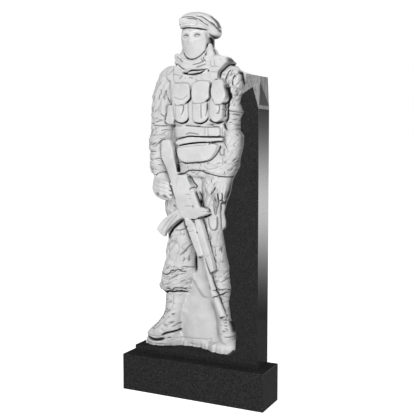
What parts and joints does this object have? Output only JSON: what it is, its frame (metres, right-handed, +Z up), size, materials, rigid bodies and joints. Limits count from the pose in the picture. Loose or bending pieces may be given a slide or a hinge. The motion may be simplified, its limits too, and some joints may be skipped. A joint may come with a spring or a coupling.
{
  "type": "upright headstone",
  "caption": "Upright granite headstone: a standing soldier carved in high relief beside a polished slab with a rough-hewn top, on a plain rectangular plinth.",
  "frame": {"origin": "middle of the plinth's underside", "axes": "+Z up, the carved front faces -Y, +X is the viewer's right when facing the front"},
  "size_m": [0.8, 0.202, 1.9639],
  "materials": {
    "carved_granite": "light grey tooled stone where carved or hewn, black polished stone on the slab and ledge",
    "black_granite": "polished black granite with a faint fine speckle"
  },
  "bodies": {
    "root": {"carved_stele": "carved_granite", "plinth": "black_granite"}
  },
  "joints": []
}
